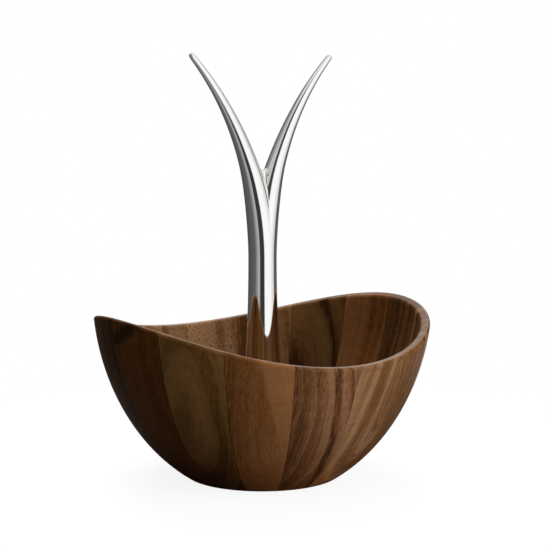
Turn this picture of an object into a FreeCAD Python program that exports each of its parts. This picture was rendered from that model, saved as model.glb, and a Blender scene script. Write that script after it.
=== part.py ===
import FreeCAD, Part
import math
import os

# Chip and dip server: a turned wooden bowl built up from glued staves, with a dip dish in its
# middle and a polished metal carrying handle that forks into two curved prongs.
# Millimetres. +Z is up, the table is z = 0 and the handle's axis is the Z axis.
# The prongs and the two high ends of the bowl's rim point along X.

Vector = FreeCAD.Vector

# ---- Bowl, outside: an ellipsoid cut flat at the table -------------------------------------
BOWL_RADIUS = 152.5          # horizontal half-axis of the outer ellipsoid
BOWL_CURVE_HEIGHT = 189.0    # vertical half-axis of the outer ellipsoid
BOWL_CENTRE_HEIGHT = 168.5   # height of the ellipsoid's centre above the table
RIM_LOW = 119.5              # height of the rim at the front and the back
RIM_PEAK = 155.5             # height of the rim at its two ends
WALL = 9.0                   # thickness of the wall
FLOOR = 16.0                 # thickness of the floor
FLOOR_BLEND = 25.0           # hollow between the floor and the wall
RIM_OUTER_ROUND = 2.5        # rounding of the rim's outer edge
RIM_INNER_ROUND = 3.5        # rounding of the rim's inner edge
FOOT_ROUND = 2.5             # rounding of the bottom edge

STAVE_COUNT = 16             # equal staves round the bowl
STAVE_LANDING = 11.0         # width of the ring that the staves stand on, round the base board
GLUE_GAP = 0.1               # room for glue between the staves and the base board

# ---- Dip dish and its pad -------------------------------------------------------------------
PAD_THICKNESS = 1.5
PAD_INSET = 1.5              # how far the pad stays inside the dish's foot
DISH_FLOOR_MARGIN = 14.0     # flat floor left showing round the dish's foot
DISH_FLARE = 6.0             # how much wider the dish is at its mouth than at its foot
DISH_HEIGHT = 40.0
DISH_WALL = 3.0
DISH_FLOOR = 3.5
DISH_CORNER = 9.0            # rounding at the bottom of the dish's outside
HUB_HEIGHT = 9.0             # seat for the handle, above the dish's underside
HUB_MARGIN = 2.0             # seat left showing round the handle's foot
HUB_BLEND = 5.0              # hollow round the bottom of the seat

# ---- Handle ---------------------------------------------------------------------------------
HANDLE_TOP = 378.5           # top of the prongs above the table
NECK_HEIGHT = 193.0          # height of the stem's narrowest place, where the prongs begin
NECK_DIAMETER = 25.5
STEM_FLARE_RADIUS = 1350.0   # radius of the stem's hollow outline below the neck
PRONG_SWING = 43.0           # degrees that each prong turns outwards from neck to tip
TIP_RADIUS = 2.7             # ball at the end of each prong
FOOT_EDGE_ROUND = 1.5        # rounding of the handle's bottom edge
# Thickness of a prong along its length, as a share of the neck's: (share of the swing, share).
PRONG_TAPER = [(0.19, 0.96), (0.33, 0.84), (0.47, 0.67), (0.61, 0.515), (0.75, 0.385), (0.88, 0.285)]
GASKET_THICKNESS = 1.2
GASKET_INSET = 2.0           # how far the gasket stays inside the handle's foot

# ---- Screw and washers under the bowl -------------------------------------------------------
SCREW_DIAMETER = 8.0
SCREW_HEAD_DIAMETER = 13.0
SCREW_HEAD_HEIGHT = 5.0
SCREW_SOCKET = 5.0           # width of the hexagonal socket across its flats
SCREW_SOCKET_DEPTH = 3.0
SCREW_REACH = 26.0           # how deep the screw goes into the handle
BORE_SPARE = 4.0             # depth of the handle's bore beyond the screw's end
THREAD_GAP = 0.1             # room round the screw in the handle's threaded bore
HOLE_GAP = 0.5               # room round the screw elsewhere, on the radius
WASHER_DIAMETER = 24.0
WASHER_THICKNESS = 1.6
SPRING_DIAMETER = 14.8
SPRING_THICKNESS = 2.0
SPRING_SLOT = 1.6            # width of the cut through the spring washer
COUNTERBORE_GAP = 1.5        # room round the washer, on the radius
HEAD_RECESS = 1.0            # how far the screw's head stays above the table

# ---- Locating pin, which keeps the prongs in line with the rim's ends -----------------------
PIN_DIAMETER = 5.0
PIN_OFFSET = 16.0            # from the handle's axis
PIN_DEPTH_HANDLE = 12.0
PIN_DEPTH_BASE = 5.0
PIN_GAP = 0.1                # room round the pin, on the radius
PIN_END_GAP = 0.5            # room beyond each end of the pin
PIN_CHAMFER = 0.5

# ---- Heights and radii that follow from the sizes above --------------------------------------
wall_radius = BOWL_RADIUS - WALL
wall_curve = BOWL_CURVE_HEIGHT - WALL


def ellipse_radius(half_axis, half_height, z):
    """Radius of a bowl surface at height z."""
    return half_axis * math.sqrt(1 - ((z - BOWL_CENTRE_HEIGHT) / half_height) ** 2)


def wall_rise(z):
    """Angle of the bowl's inner surface above level at height z."""
    drop = (BOWL_CENTRE_HEIGHT - z) / wall_curve
    return math.atan2(wall_curve * math.sqrt(1 - drop ** 2), wall_radius * drop)


base_radius = ellipse_radius(BOWL_RADIUS, BOWL_CURVE_HEIGHT, 0)
ring_radius = base_radius - STAVE_LANDING
floor_radius = ellipse_radius(wall_radius, wall_curve, FLOOR)
flat_radius = floor_radius - FLOOR_BLEND * math.tan(wall_rise(FLOOR) / 2)

dish_bottom = FLOOR + PAD_THICKNESS
dish_foot_radius = flat_radius - DISH_FLOOR_MARGIN
dish_top = dish_bottom + DISH_HEIGHT
hub_top = dish_bottom + HUB_HEIGHT
handle_bottom = hub_top + GASKET_THICKNESS

neck_radius = NECK_DIAMETER / 2
handle_foot_radius = neck_radius + (NECK_HEIGHT - handle_bottom) ** 2 / (2 * STEM_FLARE_RADIUS)
hub_radius = handle_foot_radius + HUB_MARGIN
prong_arc = (HANDLE_TOP - TIP_RADIUS - NECK_HEIGHT) / math.sin(math.radians(PRONG_SWING))

screw_radius = SCREW_DIAMETER / 2
screw_hole = screw_radius + HOLE_GAP
washer_radius = WASHER_DIAMETER / 2
head_bottom = HEAD_RECESS
spring_bottom = head_bottom + SCREW_HEAD_HEIGHT
washer_bottom = spring_bottom + SPRING_THICKNESS
counterbore_top = washer_bottom + WASHER_THICKNESS
counterbore_radius = washer_radius + COUNTERBORE_GAP
screw_top = handle_bottom + SCREW_REACH

pin_radius = PIN_DIAMETER / 2
pin_bottom = FLOOR - PIN_DEPTH_BASE
pin_top = handle_bottom + PIN_DEPTH_HANDLE
pin_place = Vector(0, PIN_OFFSET, 0)


def rod(radius, bottom, top, place=Vector(0, 0, 0)):
    """An upright cylinder."""
    return Part.makeCylinder(radius, top - bottom, place + Vector(0, 0, bottom))


def ring(outer, inner, bottom, top):
    """A flat ring round the handle's axis."""
    return rod(outer, bottom, top).cut(rod(inner, bottom - 1, top + 1))


def pin_hole(bottom, top):
    """The hole for the locating pin."""
    return rod(pin_radius + PIN_GAP, bottom, top, pin_place)


def lathe(edges):
    """Turns an outline in the XZ plane round the Z axis."""
    face = Part.Face(Part.Wire(Part.__sortEdges__(edges)))
    return face.revolve(Vector(0, 0, 0), Vector(0, 0, 1), 360)


def line(start, end):
    """A straight piece of an outline, from points given as (radius, height)."""
    return Part.LineSegment(Vector(start[0], 0, start[1]), Vector(end[0], 0, end[1])).toShape()


def bowl_arc(half_axis, half_height, bottom, top):
    """The part of a bowl surface's outline between two heights."""
    centre = Vector(0, 0, BOWL_CENTRE_HEIGHT)
    # A circle scaled along Z carries the arc, whichever of the two half-axes is longer.
    tall = half_height > half_axis
    long_end = Vector(0, 0, half_height) if tall else Vector(half_axis, 0, 0)
    short_end = Vector(half_axis, 0, 0) if tall else Vector(0, 0, -half_height)
    ellipse = Part.Ellipse(centre + long_end, centre + short_end, centre)
    start = Vector(ellipse_radius(half_axis, half_height, bottom), 0, bottom)
    end = Vector(ellipse_radius(half_axis, half_height, top), 0, top)
    marks = sorted([ellipse.parameter(start), ellipse.parameter(end)])
    return Part.ArcOfEllipse(ellipse, marks[0], marks[1]).toShape()


def round_edges_at(shape, size, radius, height):
    """Rounds the level circular edges of one radius and height."""
    chosen = []
    for edge in shape.Edges:
        curve = edge.Curve
        if not isinstance(curve, Part.Circle):
            continue
        if abs(curve.Center.z - height) < 0.01 and abs(curve.Radius - radius) < 0.01:
            chosen.append(edge)
    return shape.makeFillet(size, chosen)


def bowl_shell():
    """The whole ring of staves in one, before it is split at the joints."""
    top = min(RIM_PEAK + 10, BOWL_CENTRE_HEIGHT)
    outer_top = (ellipse_radius(BOWL_RADIUS, BOWL_CURVE_HEIGHT, top), top)
    inner_top = (ellipse_radius(wall_radius, wall_curve, top), top)
    outline = [
        line((ring_radius, 0), (base_radius, 0)),
        bowl_arc(BOWL_RADIUS, BOWL_CURVE_HEIGHT, 0, top),
        line(outer_top, inner_top),
        bowl_arc(wall_radius, wall_curve, FLOOR, top),
        line((floor_radius, FLOOR), (ring_radius, FLOOR)),
        line((ring_radius, FLOOR), (ring_radius, 0)),
    ]
    shell = lathe(outline)
    shell = round_edges_at(shell, FLOOR_BLEND, floor_radius, FLOOR)
    shell = round_edges_at(shell, FOOT_ROUND, base_radius, 0)
    return round_rim(shell.cut(rim_cutter()))


def rim_cutter():
    """A level cylinder along Y, whose lowest line gives the rim its dip between two peaks."""
    half_span = ellipse_radius(BOWL_RADIUS, BOWL_CURVE_HEIGHT, RIM_PEAK)
    rise = RIM_PEAK - RIM_LOW
    radius = (half_span ** 2 + rise ** 2) / (2 * rise)
    length = 4 * BOWL_RADIUS
    start = Vector(0, -length / 2, RIM_LOW + radius)
    return Part.makeCylinder(radius, length, start, Vector(0, 1, 0))


def round_rim(shell):
    """Rounds the outer and the inner edge of the rim."""
    outer, inner = [], []
    for edge in shell.Edges:
        if edge.BoundBox.ZMax < RIM_PEAK - 1 or edge.BoundBox.ZLength < 1:
            continue
        middle = edge.valueAt((edge.FirstParameter + edge.LastParameter) / 2)
        radius = math.hypot(middle.x, middle.y)
        halfway = ellipse_radius(BOWL_RADIUS, BOWL_CURVE_HEIGHT, middle.z) - WALL / 2
        (outer if radius > halfway else inner).append(edge)
    shell = shell.makeFillet(RIM_OUTER_ROUND, outer)
    return round_inner_rim(shell)


def round_inner_rim(shell):
    """Rounds the rim's inner edge, which is found again on the shell as it now is."""
    inner = []
    for edge in shell.Edges:
        if edge.BoundBox.ZMax < RIM_LOW + 1 or edge.BoundBox.ZLength < 1:
            continue
        middle = edge.valueAt((edge.FirstParameter + edge.LastParameter) / 2)
        radius = math.hypot(middle.x, middle.y)
        if abs(radius - ellipse_radius(wall_radius, wall_curve, middle.z)) < 0.3:
            inner.append(edge)
    return shell.makeFillet(RIM_INNER_ROUND, inner)


def bowl_staves():
    """The staves, cut from the shell by upright planes through the axis."""
    shell = bowl_shell()
    step = 2 * math.pi / STAVE_COUNT
    reach = 2 * BOWL_RADIUS
    staves = {}
    for index in range(STAVE_COUNT):
        corners = [Vector(0, 0, -1)]
        for turn in (index * step, (index + 1) * step):
            corners.append(Vector(reach * math.cos(turn), reach * math.sin(turn), -1))
        corners.append(corners[0])
        wedge = Part.Face(Part.makePolygon(corners)).extrude(Vector(0, 0, RIM_PEAK + 20))
        staves["bowl_stave_%02d" % (index + 1)] = shell.common(wedge)
    return staves


def bowl_base():
    """The round board that fills the ring of staves, with the screw's counterbored hole."""
    board = rod(ring_radius - GLUE_GAP, 0, FLOOR)
    board = board.cut(rod(counterbore_radius, -1, counterbore_top))
    board = board.cut(rod(screw_hole, -1, FLOOR + 1))
    return board.cut(pin_hole(pin_bottom - PIN_END_GAP, FLOOR + 1))


def dish_pad():
    """The soft pad between the dish and the bowl's floor."""
    pad = ring(dish_foot_radius - PAD_INSET, screw_hole, FLOOR, dish_bottom)
    return pad.cut(pin_hole(FLOOR - 1, dish_bottom + 1))


def dip_dish():
    """A round trough with a low seat for the handle at its middle."""
    inner_floor = dish_bottom + DISH_FLOOR
    mouth = dish_foot_radius + DISH_FLARE
    lean = DISH_FLARE * DISH_FLOOR / DISH_HEIGHT
    outline = [
        line((screw_hole, dish_bottom), (dish_foot_radius, dish_bottom)),
        line((dish_foot_radius, dish_bottom), (mouth, dish_top)),
        line((mouth, dish_top), (mouth - DISH_WALL, dish_top)),
        line((mouth - DISH_WALL, dish_top), (dish_foot_radius + lean - DISH_WALL, inner_floor)),
        line((dish_foot_radius + lean - DISH_WALL, inner_floor), (hub_radius, inner_floor)),
        line((hub_radius, inner_floor), (hub_radius, hub_top)),
        line((hub_radius, hub_top), (screw_hole, hub_top)),
        line((screw_hole, hub_top), (screw_hole, dish_bottom)),
    ]
    dish = lathe(outline)
    dish = round_edges_at(dish, DISH_CORNER, dish_foot_radius, dish_bottom)
    dish = round_edges_at(dish, DISH_CORNER - DISH_WALL, dish_foot_radius + lean - DISH_WALL, inner_floor)
    dish = round_edges_at(dish, HUB_BLEND, hub_radius, inner_floor)
    dish = round_edges_at(dish, DISH_WALL * 0.45, mouth, dish_top)
    dish = round_edges_at(dish, DISH_WALL * 0.45, mouth - DISH_WALL, dish_top)
    return dish.cut(pin_hole(dish_bottom - 1, hub_top + 1))


def foot_gasket():
    """The seal between the dish's seat and the handle's foot."""
    gasket = ring(handle_foot_radius - GASKET_INSET, screw_hole, hub_top, handle_bottom)
    return gasket.cut(pin_hole(hub_top - 1, handle_bottom + 1))


def prong_centre(turn):
    """The point of the right-hand prong's centre line where it has turned by this angle."""
    return Vector(prong_arc * (1 - math.cos(turn)), 0, NECK_HEIGHT + prong_arc * math.sin(turn))


def prong_section(turn, radius):
    """A round section square to the right-hand prong's centre line."""
    along = Vector(math.sin(turn), 0, math.cos(turn))
    circle = Part.Circle(prong_centre(turn), along, radius)
    return Part.Wire(circle.toShape())


def right_prong():
    """The right-hand prong, from the neck to its rounded tip."""
    swing = math.radians(PRONG_SWING)
    sections = [prong_section(0, neck_radius)]
    for share, thickness in PRONG_TAPER:
        sections.append(prong_section(share * swing, thickness * neck_radius))
    sections.append(prong_section(swing, TIP_RADIUS))
    horn = Part.makeLoft(sections, True, False)
    prong = horn.fuse(Part.makeSphere(TIP_RADIUS, prong_centre(swing)))
    # The two prongs meet at the plane between them, so each one is trimmed to its own side.
    reach = HANDLE_TOP
    side = Part.makeBox(reach, 2 * reach, reach, Vector(0, -reach, NECK_HEIGHT))
    return prong.common(side)


def stem():
    """The stem from its foot to the neck, with a hollow outline that is upright at the neck."""
    halfway = (handle_bottom + NECK_HEIGHT) / 2
    bulge = (NECK_HEIGHT - halfway) ** 2 / (2 * STEM_FLARE_RADIUS)
    side = Part.Arc(
        Vector(handle_foot_radius, 0, handle_bottom),
        Vector(neck_radius + bulge, 0, halfway),
        Vector(neck_radius, 0, NECK_HEIGHT),
    ).toShape()
    outline = [
        line((0, handle_bottom), (handle_foot_radius, handle_bottom)),
        side,
        line((neck_radius, NECK_HEIGHT), (0, NECK_HEIGHT)),
        line((0, NECK_HEIGHT), (0, handle_bottom)),
    ]
    return round_edges_at(lathe(outline), FOOT_EDGE_ROUND, handle_foot_radius, handle_bottom)


def handle():
    """The one-piece handle, with a threaded bore and a pin hole in its foot."""
    right = right_prong()
    left = right.mirror(Vector(0, 0, 0), Vector(1, 0, 0))
    body = stem().fuse([right, left]).removeSplitter()
    body = body.cut(rod(screw_radius + THREAD_GAP, handle_bottom - 1, screw_top + BORE_SPARE))
    return body.cut(pin_hole(handle_bottom - 1, pin_top + PIN_END_GAP))


def locating_pin():
    """The pin that goes through the dish and keys the handle to the base board."""
    pin = rod(pin_radius, pin_bottom, pin_top, pin_place)
    ends = [edge for edge in pin.Edges if isinstance(edge.Curve, Part.Circle)]
    return pin.makeChamfer(PIN_CHAMFER, ends)


def hexagon(flats, bottom, top):
    """An upright hexagonal prism of a given width across its flats."""
    reach = flats / math.sqrt(3)
    corners = []
    for index in range(7):
        turn = math.radians(60 * index)
        corners.append(Vector(reach * math.cos(turn), reach * math.sin(turn), bottom))
    return Part.Face(Part.makePolygon(corners)).extrude(Vector(0, 0, top - bottom))


def handle_screw():
    """The low-headed socket screw that clamps the bowl and the dish to the handle."""
    head = rod(SCREW_HEAD_DIAMETER / 2, head_bottom, spring_bottom)
    head = round_edges_at(head, 0.6, SCREW_HEAD_DIAMETER / 2, head_bottom)
    screw = head.fuse(rod(screw_radius, spring_bottom, screw_top))
    screw = round_edges_at(screw, 0.8, screw_radius, screw_top)
    socket = hexagon(SCREW_SOCKET, head_bottom - 1, head_bottom + SCREW_SOCKET_DEPTH)
    return screw.cut(socket)


def spring_washer():
    """The split ring between the screw's head and the flat washer."""
    washer = ring(SPRING_DIAMETER / 2, screw_radius + HOLE_GAP / 2, spring_bottom, washer_bottom)
    slot = Part.makeBox(SPRING_SLOT, SPRING_DIAMETER, 3 * SPRING_THICKNESS)
    slot.translate(Vector(-SPRING_SLOT / 2, 0, spring_bottom - SPRING_THICKNESS))
    return washer.cut(slot)


def flat_washer():
    """The wide washer that spreads the screw's pull over the board."""
    return ring(washer_radius, screw_radius + HOLE_GAP / 2, washer_bottom, counterbore_top)


def write_parts():
    """Writes each piece to its own STEP file."""
    pieces = bowl_staves()
    pieces["bowl_base"] = bowl_base()
    pieces["dish_pad"] = dish_pad()
    pieces["dip_dish"] = dip_dish()
    pieces["foot_gasket"] = foot_gasket()
    pieces["handle"] = handle()
    pieces["locating_pin"] = locating_pin()
    pieces["handle_screw"] = handle_screw()
    pieces["spring_washer"] = spring_washer()
    pieces["flat_washer"] = flat_washer()
    os.makedirs("parts", exist_ok=True)
    for name, shape in pieces.items():
        box = shape.optimalBoundingBox(False)
        print(name, len(shape.Solids), "solid", shape.isValid(), "volume %.0f" % shape.Volume,
              "x %.1f..%.1f y %.1f..%.1f z %.1f..%.1f" % (
                  box.XMin, box.XMax, box.YMin, box.YMax, box.ZMin, box.ZMax))
        shape.exportStep("parts/" + name + ".step")


write_parts()
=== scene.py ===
import math

import bmesh
import bpy
from mathutils import Matrix, Vector


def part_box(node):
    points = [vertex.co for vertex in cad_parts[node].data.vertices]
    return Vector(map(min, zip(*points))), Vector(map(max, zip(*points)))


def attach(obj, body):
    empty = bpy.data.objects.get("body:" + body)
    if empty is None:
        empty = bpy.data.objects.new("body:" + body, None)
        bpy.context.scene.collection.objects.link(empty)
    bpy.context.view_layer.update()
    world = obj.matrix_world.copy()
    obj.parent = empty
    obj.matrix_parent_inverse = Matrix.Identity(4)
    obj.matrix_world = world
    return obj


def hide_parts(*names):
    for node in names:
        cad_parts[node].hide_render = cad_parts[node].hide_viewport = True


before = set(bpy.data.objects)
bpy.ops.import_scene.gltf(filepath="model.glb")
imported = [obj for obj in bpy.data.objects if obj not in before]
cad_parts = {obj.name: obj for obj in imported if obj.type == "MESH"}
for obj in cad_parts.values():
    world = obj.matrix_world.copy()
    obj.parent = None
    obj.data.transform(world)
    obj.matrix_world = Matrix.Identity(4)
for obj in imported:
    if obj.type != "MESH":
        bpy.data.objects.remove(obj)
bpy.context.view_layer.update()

UP = Vector((0.0, 0.0, 1.0))

# ---- Camera, metres and radians ------------------------------------------------------------------
CAMERA_TURN = math.radians(-32.9)     # round the Z axis, from a view along +Y
CAMERA_DISTANCE = 1.397               # from the handle's axis, measured level
CAMERA_HEIGHT = 0.346
AIM_HEIGHT = 0.1814                   # height on the handle's axis that the camera looks at
AIM_ASIDE = 0.0112                    # how far to the right of the axis it looks
LENS = 102.4                          # millimetres
SENSOR = 36.0                         # millimetres
TOWARDS_CAMERA = Vector((math.sin(CAMERA_TURN), -math.cos(CAMERA_TURN), 0.0))
TO_ITS_RIGHT = Vector((math.cos(CAMERA_TURN), math.sin(CAMERA_TURN), 0.0))

# ---- Handle, metres: a stem whose neck carries two horn-like prongs --------------------------------
NECK_HEIGHT = 0.193
NECK_RADIUS = 0.01275
STEM_FLARE_RADIUS = 1.350             # of the stem's hollow outline below the neck
PRONG_SWING = math.radians(43.0)      # turn of each prong from the neck to its tip
TIP_RADIUS = 0.0027
# Thickness of a prong along its length: (share of the swing, share of the neck's thickness).
PRONG_TAPER = [(0.0, 1.0), (0.19, 0.96), (0.33, 0.833), (0.47, 0.648), (0.61, 0.498), (0.75, 0.376),
               (0.88, 0.282), (1.0, 0.212)]
FORK_HEIGHT = 0.257                   # where the web between the prongs begins, front and back
WEB_HEIGHT = 0.2768                   # top of the web, on the axis
VALLEY_START = 0.205                  # where the prongs' valley begins to show
VALLEY_DEEPENS = 0.025                # height over which it turns sharp
VALLEY_CROWD = 0.22                   # how closely the cage's corners stand beside the valley
FREE_FROM = 0.44                      # share of the swing from which a prong stands free
SIDES = 24                            # corners of the handle's cage round one prong
FOOT_ROUND = 0.0015
TOUCHING = 0.00001                    # points nearer than this are one
SCREW_BORE_RADIUS = 0.0041
SCREW_BORE_DEPTH = 0.030
# The cage's rings:
STEM_RINGS = (0.034, 0.050, 0.070, 0.095, 0.120, 0.145, 0.170, NECK_HEIGHT)
FORK_RINGS = 7                        # from the neck to where the web begins
PRONG_RINGS = 11                      # from where a prong stands free to its tip
ROUND_BY = 5                          # the first of these whose corners are evenly spaced
TIP_RINGS = (30, 58, 80)              # degrees round the tip's end

# ---- Bowl, metres: its staves lean outwards from the base to the rim -------------------------------
STAVES = 16
STAVE_FOOT = Vector((0.070, 0.0, 0.0))          # where a stave's outside leaves the table, on +X
STAVE_TOP = Vector((0.150, 0.0, 0.125))         # where it reaches the rim
GLUE_LINE = 0.00035
RIM_LOW = 0.1195                      # lowest height of the rim
FOOT_SHADE_UP_TO = 0.055                  # height over which painted shade darkens the wood towards its foot
PALER_UP_TO = 0.105                   # height over which some staves are paler or darker at the foot

# ---- Colours, linear -------------------------------------------------------------------------------
EBONY = (0.034, 0.0115, 0.0022)
UMBER = (0.070, 0.0265, 0.0065)
WALNUT = (0.120, 0.0510, 0.0165)
RUSSET = (0.155, 0.0590, 0.0170)
SIENNA = (0.180, 0.0650, 0.0140)
CHESTNUT = (0.172, 0.0770, 0.0240)
MAHOGANY = (0.165, 0.0530, 0.0085)
PLUM = (0.132, 0.0550, 0.0225)
OLIVE = (0.145, 0.0710, 0.0205)
HONEY = (0.230, 0.1080, 0.0350)
ORANGE = (0.240, 0.1040, 0.0380)
ROSY = (0.230, 0.1150, 0.0550)
STRAW = (0.305, 0.1660, 0.0760)
# Painted highlight: the pale grey that the rim's top is paled towards, standing for the light it
# catches.
PAINTED_RIM_HIGHLIGHT = (0.350, 0.2650, 0.2150)
FOOT_SHADE_TINT = (0.95, 0.74, 0.50)      # painted shade: a darker, warmer tint of the wood where it meets the table
POLISHED_METAL = (0.80, 0.80, 0.785)
SPUN_METAL = (0.74, 0.735, 0.72)
SCREW_STEEL = (0.56, 0.56, 0.57)
DARK_RUBBER = (0.035, 0.034, 0.033)

# One row for each stave, as it was cut from its board:
# shades from its dark streaks to its pale wood; where the heart of the log lies, across and behind
# the stave, in metres; how far the grain leans sideways and tips outwards, in degrees; how strongly
# the broad bands, the narrow rings and the flecks show; and its tone on its left and on its right,
# where 0 is its dark shade and 1 its pale one.
STAVE_WOODS = {
    1: ((UMBER, SIENNA, ORANGE), (0.160, 0.030), (2.0, 0.0), (0.8, 0.6, 0.4), (0.44, 0.80)),
    2: ((EBONY, WALNUT, OLIVE), (0.008, -0.050), (-6.0, 9.0), (0.9, 0.8, 0.4), (0.50, 0.58)),
    3: ((UMBER, CHESTNUT, ROSY), (-0.090, 0.060), (3.0, 0.0), (0.9, 0.7, 0.6), (0.73, 0.30)),
    4: ((WALNUT, ROSY, STRAW), (0.150, 0.020), (-2.0, 0.0), (0.6, 0.7, 2.0), (0.29, 1.03)),
    5: ((WALNUT, ROSY, STRAW), (-0.120, 0.040), (2.0, 0.0), (0.9, 0.7, 1.4), (0.50, 0.50)),
    6: ((EBONY, WALNUT, HONEY), (0.015, -0.060), (1.0, -5.0), (1.1, 0.8, 0.6), (0.40, 0.60)),
    7: ((UMBER, PLUM, ROSY), (0.110, 0.040), (-3.0, 0.0), (1.0, 0.8, 0.7), (0.60, 0.40)),
    8: ((EBONY, UMBER, WALNUT), (-0.100, 0.030), (2.0, 0.0), (0.5, 0.3, 0.4), (0.95, 0.42)),
    9: ((EBONY, UMBER, MAHOGANY), (-0.080, 0.040), (12.0, 0.0), (0.35, 0.3, 0.35), (0.68, 0.74)),
    10: ((UMBER, OLIVE, HONEY), (-0.020, -0.055), (-5.0, 7.0), (0.9, 0.7, 0.5), (0.66, 0.48)),
    11: ((UMBER, RUSSET, ORANGE), (-0.130, 0.050), (3.0, 0.0), (0.4, 0.6, 0.9), (0.50, 0.95)),
    12: ((EBONY, PLUM, ROSY), (0.080, 0.060), (-4.0, 0.0), (0.9, 0.9, 0.7), (0.28, 0.80)),
    13: ((WALNUT, ROSY, STRAW), (0.006, -0.042), (-7.0, 12.0), (0.8, 1.0, 0.5), (0.62, 0.28)),
    14: ((UMBER, WALNUT, HONEY), (0.200, 0.020), (0.0, 0.0), (0.9, 1.1, 0.5), (0.50, 0.50)),
    15: ((UMBER, WALNUT, HONEY), (-0.110, 0.040), (2.0, 0.0), (1.0, 0.8, 0.5), (0.50, 0.50)),
    16: ((EBONY, WALNUT, RUSSET), (0.180, 0.020), (0.0, 0.0), (0.55, 0.3, 0.4), (0.38, 0.34)),
}
# Where a stave pales from its left tone to its right one, in metres across it from its middle, and
# how far that place shifts to the left for each metre up. The others pale evenly.
PALE_SAPWOOD = {11: (0.026, 0.033, 0.230), 13: (-0.010, 0.050, 0.350)}
EVEN_PALING = (-0.030, 0.030, 0.0)
# How many tones paler a stave is at its foot than at its rim. The others are even.
PALER_FOOT = {9: 0.10, 10: -0.34, 11: 0.38, 12: -0.02, 13: -0.05}
# A dark mineral streak: its place across the stave, its shift to the left for each metre up, its
# half width in metres, and how many tones darker it is.
MINERAL_STREAKS = {
    9: (-0.245, -1.60, 0.017, 0.66),
    12: (0.0150, 0.030, 0.0055, 0.42),
}


# ---- Shader helpers --------------------------------------------------------------------------------
def new_material(name):
    """A node material: its node tree and its one shader."""
    material = bpy.data.materials.new(name)
    material.use_nodes = True
    return material, material.node_tree, material.node_tree.nodes["Principled BSDF"]


def feed(tree, socket, value):
    """Links a socket to another one, or sets it to a plain value."""
    if isinstance(value, bpy.types.NodeSocket):
        tree.links.new(value, socket)
    else:
        socket.default_value = value


def maths(tree, operation, *values, clamp=False):
    """A Math node on sockets or numbers; gives its result's socket."""
    made = tree.nodes.new("ShaderNodeMath")
    made.operation = operation
    made.use_clamp = clamp
    for socket, value in zip(made.inputs, values):
        feed(tree, socket, value)
    return made.outputs["Value"]


def vectors(tree, operation, *values):
    """A Vector Math node on sockets or vectors; gives its result's socket."""
    made = tree.nodes.new("ShaderNodeVectorMath")
    made.operation = operation
    sockets = [made.inputs[0], made.inputs["Scale"]] if operation == "SCALE" else made.inputs
    for socket, value in zip(sockets, values):
        feed(tree, socket, value)
    gives_number = operation in ("LENGTH", "DISTANCE", "DOT_PRODUCT")
    return made.outputs["Value" if gives_number else "Vector"]


def place_on_object(tree):
    """The place on the object, in metres."""
    return tree.nodes.new("ShaderNodeTexCoord").outputs["Object"]


def noise(tree, place, scale, detail=2.0, roughness=0.5, output="Fac"):
    """Soft random values about 0.5, at a place whose three scales are given in features a metre."""
    made = tree.nodes.new("ShaderNodeTexNoise")
    made.inputs["Scale"].default_value = 1.0
    made.inputs["Detail"].default_value = detail
    made.inputs["Roughness"].default_value = roughness
    feed(tree, made.inputs["Vector"], vectors(tree, "MULTIPLY", place, scale))
    return made.outputs[output]


def noise_along(tree, distance, scale, seed, detail=1.0):
    """Soft random values about 0.5 that change along one distance only."""
    made = tree.nodes.new("ShaderNodeTexNoise")
    made.noise_dimensions = "1D"
    made.inputs["Scale"].default_value = 1.0
    made.inputs["Detail"].default_value = detail
    feed(tree, made.inputs["W"], maths(tree, "MULTIPLY_ADD", distance, scale, seed))
    return made.outputs["Fac"]


def swing(tree, value, strength):
    """Turns values about 0.5 into values about 0, of a given strength."""
    return maths(tree, "MULTIPLY_ADD", value, strength, -0.5 * strength)


def spread(tree, value, low, high, to_low=0.0, to_high=1.0):
    """A smooth step: maps low..high to to_low..to_high."""
    made = tree.nodes.new("ShaderNodeMapRange")
    made.interpolation_type = "SMOOTHSTEP"
    for socket, number in zip(made.inputs, (value, low, high, to_low, to_high)):
        feed(tree, socket, number)
    return made.outputs["Result"]


def shades(tree, value, stops):
    """A colour ramp through (place, colour) stops."""
    made = tree.nodes.new("ShaderNodeValToRGB")
    ramp = made.color_ramp
    while len(ramp.elements) < len(stops):
        ramp.elements.new(0.5)
    for element, (place, colour) in zip(ramp.elements, stops):
        element.position = place
        element.color = (*colour, 1.0)
    feed(tree, made.inputs["Fac"], value)
    return made.outputs["Color"]


def blend(tree, factor, first, second, how="MIX"):
    """Mixes two colours."""
    made = tree.nodes.new("ShaderNodeMix")
    made.data_type = "RGBA"
    made.blend_type = how
    feed(tree, made.inputs["Factor"], factor)
    for name, value in (("A", first), ("B", second)):
        socket = next(s for s in made.inputs if s.name == name and s.type == "RGBA")
        feed(tree, socket, value)
    return next(s for s in made.outputs if s.type == "RGBA")


def dimmed(colour, share):
    """A share of a colour."""
    return tuple(share * part for part in colour)


def raise_surface(tree, shader, height, distance, strength):
    """Bumps the shader's surface by a height pattern, to a depth in metres."""
    bump = tree.nodes.new("ShaderNodeBump")
    bump.inputs["Distance"].default_value = distance
    bump.inputs["Strength"].default_value = strength
    tree.links.new(height, bump.inputs["Height"])
    tree.links.new(bump.outputs["Normal"], shader.inputs["Normal"])


# ---- Wood ------------------------------------------------------------------------------------------
# Patterns of the wood. A scale gives features a metre, across the log both ways and up it, or
# outwards from its heart. The first two bend the grain, slowly and quickly, by a size in metres.
SWAY_SCALE, SWAY = (16, 16, 5), 0.020
SHIVER_SCALE, SHIVER = (70, 70, 16), 0.0028
BAND_SCALE, BAND_STRENGTH = 105.0, 1.35
RING_SCALE, RING_STRENGTH = 520.0, 0.62
PATCH_SCALE, PATCH_STRENGTH = (22, 22, 7), 0.55
FIBRE_SCALE, FIBRE_STRENGTH = (1500, 1500, 26), 0.42
STREAK_SCALE, STREAK_STRENGTH = (520, 520, 9), 0.66
PORE_SCALE = (1150, 1150, 130)
RIPPLE_SCALE, RIPPLE_STRENGTH = (38, 38, 190), 0.34


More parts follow.
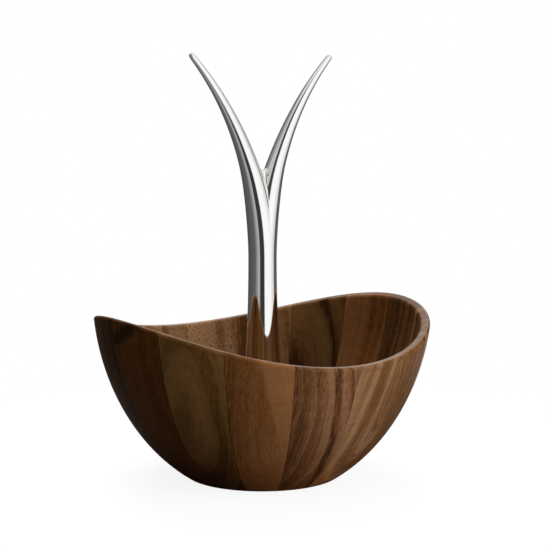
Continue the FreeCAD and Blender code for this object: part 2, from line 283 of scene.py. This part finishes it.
def grain_place(tree, foot, along, outwards, heart, turns):
    """The place in the log that a board came from: Z runs up the log, X and Y are 0 at its heart."""
    across, behind = heart
    lean, tip = (math.radians(turn) for turn in turns)
    sideways = outwards.cross(along)
    along = Matrix.Rotation(lean, 3, outwards) @ Matrix.Rotation(tip, 3, sideways) @ along
    outwards = (outwards - along * outwards.dot(along)).normalized()
    sideways = outwards.cross(along)
    axes = Matrix((sideways, outwards, along)).transposed()
    made = tree.nodes.new("ShaderNodeMapping")
    made.vector_type = "TEXTURE"
    made.inputs["Location"].default_value = foot - sideways * across - outwards * behind
    made.inputs["Rotation"].default_value = axes.to_euler()
    feed(tree, made.inputs["Vector"], place_on_object(tree))
    return made.outputs["Vector"]


def glue_shadow(tree, number):
    """1 on a stave's wood, less at the glue lines on its two sides."""
    place = place_on_object(tree)
    gaps = []
    for edge in (number - 1, number):
        turn = 2 * math.pi * edge / STAVES
        offset = vectors(tree, "DOT_PRODUCT", place, (math.sin(turn), -math.cos(turn), 0.0))
        gaps.append(maths(tree, "ABSOLUTE", offset))
    nearest = maths(tree, "MINIMUM", *gaps)
    return spread(tree, nearest, 0.4 * GLUE_LINE, 1.6 * GLUE_LINE, 0.45, 1.0)


def worn_rim_and_highlight(tree):
    """1 on the sanded end grain along the rim's top, 0 on the bowl's walls. There the wood is smoother
    and carries a painted highlight.
    """
    normal = tree.nodes.new("ShaderNodeNewGeometry").outputs["Normal"]
    faces_up = spread(tree, vectors(tree, "DOT_PRODUCT", normal, UP), 0.74, 0.97)
    up = vectors(tree, "DOT_PRODUCT", place_on_object(tree), UP)
    at_rim = spread(tree, up, RIM_LOW - 0.010, RIM_LOW - 0.004)
    return maths(tree, "MULTIPLY", faces_up, at_rim)


def random_shift(tree, place, scale, size):
    """A random shift of up to half a size each way, which changes slowly from place to place."""
    shift = vectors(tree, "SUBTRACT", noise(tree, place, scale, output="Color"), (0.5, 0.5, 0.5))
    return vectors(tree, "SCALE", shift, size)


def grow_wood(tree, shader, grain, tones, figure, seed, side_tone, wear_and_highlight=0.0):
    """Oiled wood: bands and rings about the log's heart, fibres, pores and a cross ripple.

    It is smoother where use has polished it.
    """
    bands, rings, flecks = figure
    seeded = vectors(tree, "ADD", grain, (0.37 * seed, 0.21 * seed, 0.53 * seed))
    bent = vectors(tree, "ADD", grain, random_shift(tree, seeded, SWAY_SCALE, SWAY))
    bent = vectors(tree, "ADD", bent, random_shift(tree, seeded, SHIVER_SCALE, SHIVER))
    depth = vectors(tree, "LENGTH", vectors(tree, "MULTIPLY", bent, (1, 1, 0)))
    broad = noise_along(tree, depth, BAND_SCALE, 3.7 * seed, 1.0)
    narrow = noise_along(tree, depth, RING_SCALE, 9.1 * seed, 2.0)
    patches = noise(tree, seeded, PATCH_SCALE)
    fibres = noise(tree, seeded, FIBRE_SCALE, 2.0, 0.6)
    streaks = noise(tree, seeded, STREAK_SCALE, 2.0, 0.6)
    open_pores = 0.62 - 0.03 * flecks
    pores = spread(tree, noise(tree, seeded, PORE_SCALE, 1.0), open_pores, open_pores + 0.10)
    ripple = noise(tree, seeded, RIPPLE_SCALE, 1.0)

    tone = side_tone
    for pattern, strength in ((broad, BAND_STRENGTH * bands), (narrow, RING_STRENGTH * rings),
                              (patches, PATCH_STRENGTH), (fibres, FIBRE_STRENGTH),
                              (streaks, STREAK_STRENGTH)):
        tone = maths(tree, "ADD", tone, swing(tree, pattern, strength))
    dark, middle, pale = tones
    colour = shades(tree, tone, [(0.12, dark), (0.50, middle), (0.92, pale)])
    ripples = maths(tree, "MULTIPLY_ADD", ripple, RIPPLE_STRENGTH, 1.0 - 0.5 * RIPPLE_STRENGTH)
    colour = blend(tree, 1.0, colour, ripples, "MULTIPLY")
    pore_depth = maths(tree, "MULTIPLY", pores, min(0.42 * flecks, 0.8))
    colour = blend(tree, pore_depth, colour, (*dimmed(dark, 0.45), 1.0))
    dullness = maths(tree, "MULTIPLY_ADD", fibres, 0.16, 0.42)
    dullness = maths(tree, "MULTIPLY_ADD", pores, 0.18, dullness, clamp=True)
    dullness = maths(tree, "MULTIPLY_ADD", wear_and_highlight, -0.24, dullness)
    tree.links.new(dullness, shader.inputs["Roughness"])
    shader.inputs["Specular IOR Level"].default_value = 0.04
    relief = maths(tree, "MULTIPLY_ADD", pores, -1.0, fibres)
    raise_surface(tree, shader, relief, 0.00012, 0.35)
    return colour


def stave_wood(number):
    """The wood of one stave, with its own board's colour and figure, and its dark glue lines."""
    tones, heart, turns, figure, (left_tone, right_tone) = STAVE_WOODS[number]
    material, tree, shader = new_material(f"stave_wood_{number:02d}")
    turned = Matrix.Rotation(2 * math.pi * (number - 0.5) / STAVES, 3, "Z")
    foot = turned @ STAVE_FOOT
    along = (turned @ (STAVE_TOP - STAVE_FOOT)).normalized()
    right = turned @ Vector((0.0, 1.0, 0.0))
    outwards = right.cross(along).normalized()
    grain = grain_place(tree, foot, along, outwards, heart, turns)
    place = place_on_object(tree)
    aside = vectors(tree, "DOT_PRODUCT", place, tuple(right))
    up = vectors(tree, "DOT_PRODUCT", place, UP)
    pales_from, pales_to, shift = PALE_SAPWOOD.get(number, EVEN_PALING)
    across = maths(tree, "MULTIPLY_ADD", up, shift, aside)
    side_tone = spread(tree, across, pales_from, pales_to, left_tone, right_tone)
    paler_foot = spread(tree, up, 0.0, PALER_UP_TO, PALER_FOOT.get(number, 0.0), 0.0)
    side_tone = maths(tree, "ADD", side_tone, paler_foot)
    if number in MINERAL_STREAKS:
        middle, shift, half_width, darkness = MINERAL_STREAKS[number]
        across = maths(tree, "MULTIPLY_ADD", up, shift, aside)
        wander = swing(tree, noise(tree, place, (45, 45, 30)), 1.6 * half_width)
        off = maths(tree, "ADD", maths(tree, "SUBTRACT", across, middle), wander)
        off = maths(tree, "ABSOLUTE", off)
        streak = spread(tree, off, 0.0, half_width, darkness, 0.0)
        side_tone = maths(tree, "SUBTRACT", side_tone, streak)
    wear_and_highlight = worn_rim_and_highlight(tree)
    colour = grow_wood(tree, shader, grain, tones, figure, number + 0.5, side_tone, wear_and_highlight)
    colour = blend(tree, 1.0, colour, glue_shadow(tree, number), "MULTIPLY")
    # Painted shade: the wood darkens and warms towards the foot, where less light reaches it.
    above_foot = spread(tree, up, 0.0, FOOT_SHADE_UP_TO)
    painted_foot_shade = shades(tree, above_foot, [(0.0, FOOT_SHADE_TINT), (1.0, (1.0, 1.0, 1.0))])
    colour = blend(tree, 1.0, colour, painted_foot_shade, "MULTIPLY")
    # Painted highlight: the rim's top is paled towards a light grey, as if catching light from above.
    rim_highlight_share = maths(tree, "MULTIPLY", wear_and_highlight, 0.40)
    colour = blend(tree, rim_highlight_share, colour, (*PAINTED_RIM_HIGHLIGHT, 1.0))
    tree.links.new(colour, shader.inputs["Base Color"])
    return material


def base_wood():
    """The base disc: one board with its grain lying flat."""
    material, tree, shader = new_material("base_wood")
    along = Vector((0.96, 0.28, 0.0))
    grain = grain_place(tree, Vector(), along, UP, (0.020, 0.070), (0.0, 2.0))
    colour = grow_wood(tree, shader, grain, (UMBER, WALNUT, HONEY), (1.2, 0.9, 0.6), 41.0, 0.5)
    tree.links.new(colour, shader.inputs["Base Color"])
    return material


# ---- Metal and rubber ------------------------------------------------------------------------------
def polished_metal():
    """The handle's mirror polish, with the faint waviness of hand buffing."""
    material, tree, shader = new_material("polished_handle")
    place = place_on_object(tree)
    haze = noise(tree, place, (160, 160, 60), 3.0)
    tint = shades(tree, haze, [(0.3, dimmed(POLISHED_METAL, 0.97)), (0.7, POLISHED_METAL)])
    tree.links.new(tint, shader.inputs["Base Color"])
    tree.links.new(maths(tree, "MULTIPLY_ADD", haze, 0.05, 0.02), shader.inputs["Roughness"])
    shader.inputs["Metallic"].default_value = 1.0
    raise_surface(tree, shader, noise(tree, place, (45, 45, 14), 1.0), 0.0006, 0.06)
    return material


def turned_metal(name, colour, roughness, line_depth):
    """Lathe-turned metal: fine rings about the object's axis."""
    material, tree, shader = new_material(name)
    place = place_on_object(tree)
    radius = vectors(tree, "LENGTH", vectors(tree, "MULTIPLY", place, (1, 1, 0)))
    height = maths(tree, "ABSOLUTE", vectors(tree, "DOT_PRODUCT", place, UP))
    travel = maths(tree, "ADD", radius, height)
    lines = noise_along(tree, travel, 2600.0, 5.0, 3.0)
    tint = shades(tree, lines, [(0.25, dimmed(colour, 0.86)), (0.75, colour)])
    tree.links.new(tint, shader.inputs["Base Color"])
    dullness = maths(tree, "MULTIPLY_ADD", lines, 0.16, roughness - 0.08)
    tree.links.new(dullness, shader.inputs["Roughness"])
    shader.inputs["Metallic"].default_value = 1.0
    raise_surface(tree, shader, lines, line_depth, 0.4)
    return material


def moulded_rubber():
    """Dark matt silicone with a fine moulded texture."""
    material, tree, shader = new_material("dark_silicone")
    place = place_on_object(tree)
    skin = noise(tree, place, (2200, 2200, 2200), 2.0)
    cloud = noise(tree, place, (60, 60, 60), 2.0)
    tint = shades(tree, cloud, [(0.3, dimmed(DARK_RUBBER, 0.8)), (0.7, DARK_RUBBER)])
    tree.links.new(tint, shader.inputs["Base Color"])
    tree.links.new(maths(tree, "MULTIPLY_ADD", skin, 0.2, 0.5), shader.inputs["Roughness"])
    raise_surface(tree, shader, skin, 0.0001, 0.5)
    return material


# ---- Floor and studio ------------------------------------------------------------------------------
FLOOR_RADIUS = 0.70
FLOOR_GAP = 0.0002                    # keeps the floor clear of the bowl's flat foot
FADE_START, FADE_END = 0.22, 0.46     # from the axis, between which the floor turns white
FLOOR_GREY, FLOOR_GLOW = 0.16, 0.89   # of the floor as the camera sees it
MIRRORED_GREY = 0.2                   # of the floor near the bowl, as polished metal mirrors it
FAR_LEFT, FAR_RIGHT = 0.11, 1.0       # brightness of its far sides, as polished metal mirrors them
BOUNCE_GREY = 0.05                    # of the floor as it lights the bowl from below
FLOOR_BOUNCE = 0.09                   # light that its right side throws up at the bowl
SOFTBOX = 1.2
CEILING = 0.9
CEILING_EDGE = (0.72, 0.86)           # heights of a direction, where 1 is straight up
WALL_HEIGHTS = (0.05, 0.50)           # those between which the low walls turn into the high ones
# Brightness all round the studio, where 1 is white: (bearing from the camera in degrees, positive to
# its right, brightness). A softbox stands on the right, the room in front is dark, and white paper
# hangs behind.
LOW_WALLS = [(-180, 1.0), (-172, 1.0), (-167, 0.06), (-130, 0.09), (-60, 0.135), (-24, 0.56),
             (-17, 0.045), (14, 0.045), (19, SOFTBOX), (62, SOFTBOX), (100, 0.76), (106, 0.11),
             (165, 0.14), (172, 1.0), (180, 1.0)]
HIGH_WALLS = [(-180, 1.0), (-172, 1.0), (-165, 0.13), (-125, 0.20), (-75, 0.40), (-35, 0.70),
              (-24, 0.70), (-16, 0.06), (9, 0.06), (16, SOFTBOX), (70, SOFTBOX), (104, 0.85),
              (112, 0.70), (165, 0.80), (172, 1.0), (180, 1.0)]
# The same for the far floor's left front, as polished metal mirrors it.
FLOOR_WALLS = [(-180, 0.10), (-90, 0.12), (-62, 0.13), (-24, 0.52), (-14, 0.10), (180, 0.10)]


def mix_looks(tree, factor, first, second):
    """Mixes two shaders."""
    made = tree.nodes.new("ShaderNodeMixShader")
    feed(tree, made.inputs[0], factor)
    tree.links.new(first, made.inputs[1])
    tree.links.new(second, made.inputs[2])
    return made.outputs[0]


def paper(tree, grey):
    """Plain matt paper."""
    made = tree.nodes.new("ShaderNodeBsdfDiffuse")
    made.inputs["Color"].default_value = (grey, grey, grey, 1.0)
    return made.outputs[0]


def glow(tree, strength):
    """An even glow, where 1 is white."""
    made = tree.nodes.new("ShaderNodeEmission")
    feed(tree, made.inputs["Strength"], strength)
    return made.outputs[0]


def glowing_paper(tree, grey, strength):
    """Matt paper with an even glow of its own."""
    made = tree.nodes.new("ShaderNodeAddShader")
    tree.links.new(paper(tree, grey), made.inputs[0])
    tree.links.new(glow(tree, strength), made.inputs[1])
    return made.outputs[0]


def seen_by_camera(tree, path):
    """1 for what the camera sees, straight or through something clear, else 0."""
    return maths(tree, "MAXIMUM", path.outputs["Is Camera Ray"], path.outputs["Is Transmission Ray"])


def studio_turn(tree, direction):
    """How far round the studio a direction points: 0.5 is towards the camera, more is to its right."""
    ahead = vectors(tree, "DOT_PRODUCT", direction, TOWARDS_CAMERA)
    aside = vectors(tree, "DOT_PRODUCT", direction, TO_ITS_RIGHT)
    bearing = maths(tree, "DEGREES", maths(tree, "ARCTAN2", aside, ahead))
    return maths(tree, "MULTIPLY_ADD", bearing, 1 / 360, 0.5)


def brightness_round(tree, turn, levels):
    """Brightness all round the studio, as a share of the softbox's."""
    return shades(tree, turn, [(0.5 + degrees / 360, (level / SOFTBOX,) * 3)
                               for degrees, level in levels])


def make_floor():
    """A round pale floor that fades into the white backdrop and keeps the bowl's soft shadow."""
    bm = bmesh.new()
    lowered = Matrix.Translation((0.0, 0.0, -FLOOR_GAP))
    bmesh.ops.create_circle(bm, cap_ends=True, segments=96, radius=FLOOR_RADIUS, matrix=lowered)
    mesh = bpy.data.meshes.new("floor")
    bm.to_mesh(mesh)
    bm.free()
    floor = bpy.data.objects.new("floor", mesh)
    bpy.context.scene.collection.objects.link(floor)
    material, tree, shader = new_material("pale_floor")
    tree.nodes.remove(shader)
    place = place_on_object(tree)
    far_off = spread(tree, vectors(tree, "LENGTH", place), FADE_START, FADE_END)
    near_by = glowing_paper(tree, FLOOR_GREY, FLOOR_GLOW)
    seen = mix_looks(tree, far_off, near_by, glow(tree, 1.0))
    aside = vectors(tree, "DOT_PRODUCT", place, TO_ITS_RIGHT)
    brightness = spread(tree, aside, -0.10, 0.25, FAR_LEFT, FAR_RIGHT)
    left_front = brightness_round(tree, studio_turn(tree, place), FLOOR_WALLS)
    left_front = maths(tree, "MULTIPLY", left_front, SOFTBOX)
    brightness = maths(tree, "MAXIMUM", brightness, left_front)
    mirrored = mix_looks(tree, far_off, paper(tree, MIRRORED_GREY), glow(tree, brightness))
    bounce = spread(tree, aside, -0.06, 0.08, 0.0, FLOOR_BOUNCE)
    bounced = glowing_paper(tree, BOUNCE_GREY, bounce)
    path = tree.nodes.new("ShaderNodeLightPath")
    look = mix_looks(tree, path.outputs["Is Glossy Ray"], bounced, mirrored)
    look = mix_looks(tree, seen_by_camera(tree, path), look, seen)
    tree.links.new(look, tree.nodes["Material Output"].inputs["Surface"])
    mesh.materials.append(material)


def light_studio():
    """The studio's walls and ceiling, in front of plain white for the camera."""
    world = bpy.data.worlds.new("studio")
    bpy.context.scene.world = world
    world.use_nodes = True
    tree = world.node_tree
    direction = tree.nodes.new("ShaderNodeTexCoord").outputs["Generated"]
    turn = studio_turn(tree, direction)
    walls = [brightness_round(tree, turn, levels) for levels in (LOW_WALLS, HIGH_WALLS)]
    height = vectors(tree, "DOT_PRODUCT", direction, UP)
    ceiling = spread(tree, height, *CEILING_EDGE)
    high = spread(tree, height, *WALL_HEIGHTS)
    path = tree.nodes.new("ShaderNodeLightPath")
    gleam = maths(tree, "SUBTRACT", 1.0, path.outputs["Is Diffuse Ray"])
    studio = blend(tree, maths(tree, "MULTIPLY", high, gleam), *walls)
    studio = blend(tree, ceiling, studio, (*[CEILING / SOFTBOX] * 3, 1.0))
    background = tree.nodes["Background"]
    tree.links.new(studio, background.inputs["Color"])
    background.inputs["Strength"].default_value = SOFTBOX
    white = tree.nodes.new("ShaderNodeBackground")
    white.inputs["Color"].default_value = (1.0, 1.0, 1.0, 1.0)
    look = mix_looks(tree, seen_by_camera(tree, path), background.outputs[0], white.outputs[0])
    tree.links.new(look, tree.nodes["World Output"].inputs["Surface"])


LAMP_AIM = 0.1                        # height on the axis at which the lamps point


def add_lamp(name, bearing, height, distance, size, power):
    """A soft square lamp aimed at the bowl, at a bearing and a height in degrees. Nothing mirrors it."""
    data = bpy.data.lights.new(name, "AREA")
    data.shape = "SQUARE"
    data.size = size
    data.energy = power
    lamp = bpy.data.objects.new(name, data)
    bpy.context.scene.collection.objects.link(lamp)
    turn = CAMERA_TURN + math.radians(bearing)
    rise = math.radians(height)
    level = Vector((math.sin(turn), -math.cos(turn), 0.0))
    away = level * math.cos(rise) + UP * math.sin(rise)
    lamp.location = away * distance + UP * LAMP_AIM
    lamp.rotation_euler = away.to_track_quat("Z", "Y").to_euler()
    lamp.visible_camera = False
    lamp.visible_glossy = False


# ---- Camera ----------------------------------------------------------------------------------------
def add_camera():
    """A camera a little above the rim, looking slightly down at the bowl."""
    data = bpy.data.cameras.new("camera")
    data.lens = LENS
    data.sensor_width = SENSOR
    data.clip_end = 50.0              # metres
    camera = bpy.data.objects.new("camera", data)
    bpy.context.scene.collection.objects.link(camera)
    camera.location = TOWARDS_CAMERA * CAMERA_DISTANCE + UP * CAMERA_HEIGHT
    aim = TO_ITS_RIGHT * AIM_ASIDE + UP * AIM_HEIGHT
    camera.rotation_euler = (aim - camera.location).to_track_quat("-Z", "Y").to_euler()
    bpy.context.scene.camera = camera


# ---- Handle ----------------------------------------------------------------------------------------
handle_low, handle_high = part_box("handle")
PRONG_ARC = (handle_high.z - TIP_RADIUS - NECK_HEIGHT) / math.sin(PRONG_SWING)
# A smoothed cage ring lies inside its corners, so the corners stand this much further out.
CAGE_GROWTH = 1 / (1 - (1 - math.cos(2 * math.pi / SIDES)) / 3)


def prong_radius(share):
    """Radius of a prong at a share of its swing, on a smooth curve through the taper's points."""
    points = PRONG_TAPER
    for index in range(len(points) - 1):
        (s0, r0), (s1, r1) = points[index], points[index + 1]
        if share <= s1 or index == len(points) - 2:
            break
    before = points[index - 1] if index > 0 else (s0 - (s1 - s0), r0)
    after = points[index + 2] if index + 2 < len(points) else (s1 + (s1 - s0), r1 + (r1 - r0))
    step = s1 - s0
    slope0 = (r1 - before[1]) / (s1 - before[0]) * step
    slope1 = (after[1] - r0) / (after[0] - s0) * step
    t = (share - s0) / step
    value = ((2 * t**3 - 3 * t**2 + 1) * r0 + (t**3 - 2 * t**2 + t) * slope0
             + (3 * t**2 - 2 * t**3) * r1 + (t**3 - t**2) * slope1)
    return value * NECK_RADIUS


def prong_centre(turn):
    """Point of the right-hand prong's centre line, as (x, z)."""
    return PRONG_ARC * (1 - math.cos(turn)), NECK_HEIGHT + PRONG_ARC * math.sin(turn)


def stem_radius(height):
    """Radius of the stem below the neck."""
    return NECK_RADIUS + (NECK_HEIGHT - height) ** 2 / (2 * STEM_FLARE_RADIUS)


def half_ring(radius, height):
    """Corners of the right-hand half of a round ring about the axis, from front to back."""
    corners = []
    for index in range(SIDES // 2 + 1):
        turn = -math.pi / 2 + math.pi * index / (SIDES // 2)
        corners.append(Vector((radius * math.cos(turn), radius * math.sin(turn), height)))
    corners[0].x = corners[-1].x = 0.0
    return corners


def turns_round(lean, crowd):
    """Directions of a prong ring's corners, round its outer side and then its inner side.

    The outer side's corners reach further round by the lean, and crowd towards their two ends.
    """
    half = SIDES // 2
    reach = math.pi / 2 + lean
    turns = []
    for index in range(half + 1):
        share = 2 * index / half - 1
        turns.append(reach * (share + crowd * math.sin(math.pi * share)))
    for index in range(1, half):
        turns.append(reach + 2 * (math.pi - reach) * index / half)
    return turns


def fork_lean(height):
    """How far each prong's outer side reaches round at the valley where the prongs are joined."""
    turn = math.asin((height - NECK_HEIGHT) / PRONG_ARC)
    radius = prong_radius(turn / PRONG_SWING) * CAGE_GROWTH
    return math.asin(min(prong_centre(turn)[0] * math.cos(turn) / radius, 0.95))


def fork_crowd(height):
    """How closely the corners crowd at the valley, so that its two sides meet at their true angle."""
    return VALLEY_CROWD * min(1.0, (height - NECK_HEIGHT) / (0.7 * (FORK_HEIGHT - NECK_HEIGHT)))


def fork_ring(height):
    """Corners of the right-hand prong's outer side where the prongs are still joined."""
    turn = math.asin((height - NECK_HEIGHT) / PRONG_ARC)
    offset = prong_centre(turn)[0]
    radius = prong_radius(turn / PRONG_SWING) * CAGE_GROWTH
    corners = []
    for angle in turns_round(fork_lean(height), fork_crowd(height))[:SIDES // 2 + 1]:
        x = offset + radius / math.cos(turn) * math.cos(angle)
        corners.append(Vector((x, radius * math.sin(angle), height)))
    corners[0].x = corners[-1].x = 0.0
    return corners


def prong_ring(turn, radius, lean=0.0, crowd=0.0, ahead=0.0):
    """Corners of a whole ring square to the right-hand prong, from its front round its outer side."""
    x, z = prong_centre(turn)
    outward = Vector((math.cos(turn), 0.0, -math.sin(turn)))
    along = Vector((math.sin(turn), 0.0, math.cos(turn)))
    corners = []
    for angle in turns_round(lean, crowd):
        place = Vector((x, 0.0, z)) + outward * (radius * math.cos(angle)) + along * ahead
        corners.append(place + Vector((0.0, radius * math.sin(angle), 0.0)))
    return corners


def grow(bm, ring, corners, closed):
    """Extrudes a ring of vertices and moves the new ring to the given corners."""
    count = len(ring)
    pairs = [(ring[i], ring[(i + 1) % count]) for i in range(count if closed else count - 1)]
    edges = [bm.edges.get(pair) for pair in pairs]
    made = bmesh.ops.extrude_edge_only(bm, edges=edges)["geom"]
    fresh = set(v for v in made if isinstance(v, bmesh.types.BMVert))
    new_ring = []
    for vertex, corner in zip(ring, corners):
        twin = next(e.other_vert(vertex) for e in vertex.link_edges if e.other_vert(vertex) in fresh)
        twin.co = corner
        new_ring.append(twin)
    return new_ring


def start_ring(bm, corners):
    """The first, open ring of vertices and edges."""
    ring = [bm.verts.new(corner) for corner in corners]
    for first, second in zip(ring, ring[1:]):
        bm.edges.new((first, second))
    return ring


def grow_stem(bm):
    """The right-hand half of the stem, from the end of the screw's bore up to the neck."""
    bottom = handle_low.z
    bore_top = bottom + SCREW_BORE_DEPTH
    bore = SCREW_BORE_RADIUS * CAGE_GROWTH
    foot = stem_radius(bottom) * CAGE_GROWTH
    ring = start_ring(bm, half_ring(bore * 0.15, bore_top))
    rings = [(bore * 0.9, bore_top), (bore, bore_top - 0.0006), (bore, bore_top - 0.004),
             (bore, bottom + 0.004), (bore, bottom + 0.0004), (bore + 0.0004, bottom),
             (bore + 0.004, bottom), (foot - 3 * FOOT_ROUND, bottom), (foot - FOOT_ROUND, bottom),
             (foot - 0.3 * FOOT_ROUND, bottom + 0.3 * FOOT_ROUND), (foot, bottom + FOOT_ROUND)]
    for height in STEM_RINGS:
        rings.append((stem_radius(height) * CAGE_GROWTH, height))
    for radius, height in rings:
        ring = grow(bm, ring, half_ring(radius, height), closed=False)
    return ring


def grow_fork(bm, ring):
    """The stretch where the prongs part but are still joined, and the arch of the web."""
    for index in range(1, FORK_RINGS + 1):
        height = NECK_HEIGHT + (FORK_HEIGHT - NECK_HEIGHT) * index / FORK_RINGS
        ring = grow(bm, ring, fork_ring(height), closed=False)
    depth = ring[-1].co.y
    arch = []
    last = ring[-1]
    for index in range(1, SIDES // 2):
        across = math.cos(2 * math.pi * index / SIDES)
        z = FORK_HEIGHT + (WEB_HEIGHT - FORK_HEIGHT) * (1 - abs(across) ** 1.25)
        vertex = bm.verts.new((0.0, depth * across, z))
        bm.edges.new((last, vertex))
        arch.append(vertex)
        last = vertex
    bm.edges.new((last, ring[0]))
    return ring + arch


def grow_prong(bm, ring):
    """The free part of the right-hand prong, up to its round tip."""
    first = FREE_FROM * PRONG_SWING
    lean = fork_lean(FORK_HEIGHT)
    free = prong_ring(first, prong_radius(FREE_FROM) * CAGE_GROWTH, lean, VALLEY_CROWD)
    fork = [vertex.co.copy() for vertex in ring]
    for share in (1 / 3, 2 / 3):
        between = [on_prong(low.lerp(high, share)) for low, high in zip(fork, free)]
        ring = grow(bm, ring, between, closed=True)
    ring = grow(bm, ring, free, closed=True)
    for index in range(1, PRONG_RINGS + 1):
        turn = first + (PRONG_SWING - first) * index / PRONG_RINGS
        relax = max(0.0, 1 - index / ROUND_BY)
        radius = prong_radius(turn / PRONG_SWING) * CAGE_GROWTH
        ring = grow(bm, ring, prong_ring(turn, radius, lean * relax, VALLEY_CROWD * relax), True)
    tip = TIP_RADIUS * CAGE_GROWTH
    for angle in TIP_RINGS:
        rise = math.radians(angle)
        corners = prong_ring(PRONG_SWING, tip * math.cos(rise), ahead=tip * math.sin(rise))
        ring = grow(bm, ring, corners, True)
    bm.faces.new(ring)


def on_prong(place):
    """The nearest point of the right-hand prong's cage surface to a place beside it."""
    turn = math.atan2(place.z - NECK_HEIGHT, PRONG_ARC - place.x)
    x, z = prong_centre(turn)
    centre = Vector((x, 0.0, z))
    offset = place - centre
    radius = prong_radius(turn / PRONG_SWING) * CAGE_GROWTH
    return centre + offset * (radius / offset.length)


def sharpen_valley(bm):
    """Keeps the valley between the prongs sharp, and the web at its top round."""
    crease = bm.edges.layers.float.new("crease_edge")
    for edge in bm.edges:
        height = min(vertex.co.z for vertex in edge.verts)
        if height > VALLEY_START and all(abs(vertex.co.x) < TOUCHING for vertex in edge.verts):
            on_web = max(0.0, (height - FORK_HEIGHT) / (WEB_HEIGHT - FORK_HEIGHT))
            edge[crease] = min(1.0, (height - VALLEY_START) / VALLEY_DEEPENS) * (1.0 - on_web)


def make_handle():
    """The one-piece handle: a cage for its right-hand half, mirrored and smoothed."""
    bm = bmesh.new()
    ring = grow_stem(bm)
    ring = grow_fork(bm, ring)
    grow_prong(bm, ring)
    half = bm.verts[:] + bm.edges[:] + bm.faces[:]
    bmesh.ops.mirror(bm, geom=half, axis="X", merge_dist=TOUCHING)
    bmesh.ops.remove_doubles(bm, verts=bm.verts, dist=TOUCHING)
    sharpen_valley(bm)
    bore_end = [e for e in bm.edges if e.is_boundary]
    bmesh.ops.contextual_create(bm, geom=bore_end)
    bmesh.ops.recalc_face_normals(bm, faces=bm.faces)
    mesh = bpy.data.meshes.new("polished_handle")
    bm.to_mesh(mesh)
    bm.free()
    mesh.polygons.foreach_set("use_smooth", [True] * len(mesh.polygons))
    handle = bpy.data.objects.new("polished_handle", mesh)
    bpy.context.scene.collection.objects.link(handle)
    smooth = handle.modifiers.new("smooth", "SUBSURF")
    smooth.levels = smooth.render_levels = 2
    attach(handle, "root")
    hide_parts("handle")
    return handle


# ---- Putting it together ---------------------------------------------------------------------------
def finish_node(name, material):
    """Gives a CAD node its finish."""
    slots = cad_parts[name].data.materials
    slots.clear()
    slots.append(material)


add_camera()
for number in range(1, STAVES + 1):
    finish_node(f"bowl_stave_{number:02d}", stave_wood(number))
finish_node("bowl_base", base_wood())
silicone = moulded_rubber()
finish_node("dish_pad", silicone)
finish_node("foot_gasket", silicone)
finish_node("dip_dish", turned_metal("spun_dish", SPUN_METAL, 0.24, 0.00003))
screw_steel = turned_metal("screw_steel", SCREW_STEEL, 0.32, 0.00002)
for name in ("handle_screw", "locating_pin", "spring_washer", "flat_washer"):
    finish_node(name, screw_steel)
handle = make_handle()
handle.data.materials.append(polished_metal())
make_floor()
light_studio()
add_lamp("key_lamp", bearing=52.0, height=10.0, distance=1.4, size=0.8, power=12.2)
add_lamp("back_lamp", bearing=-165.0, height=55.0, distance=1.5, size=1.0, power=17.0)
bpy.context.scene.view_settings.view_transform = "Standard"
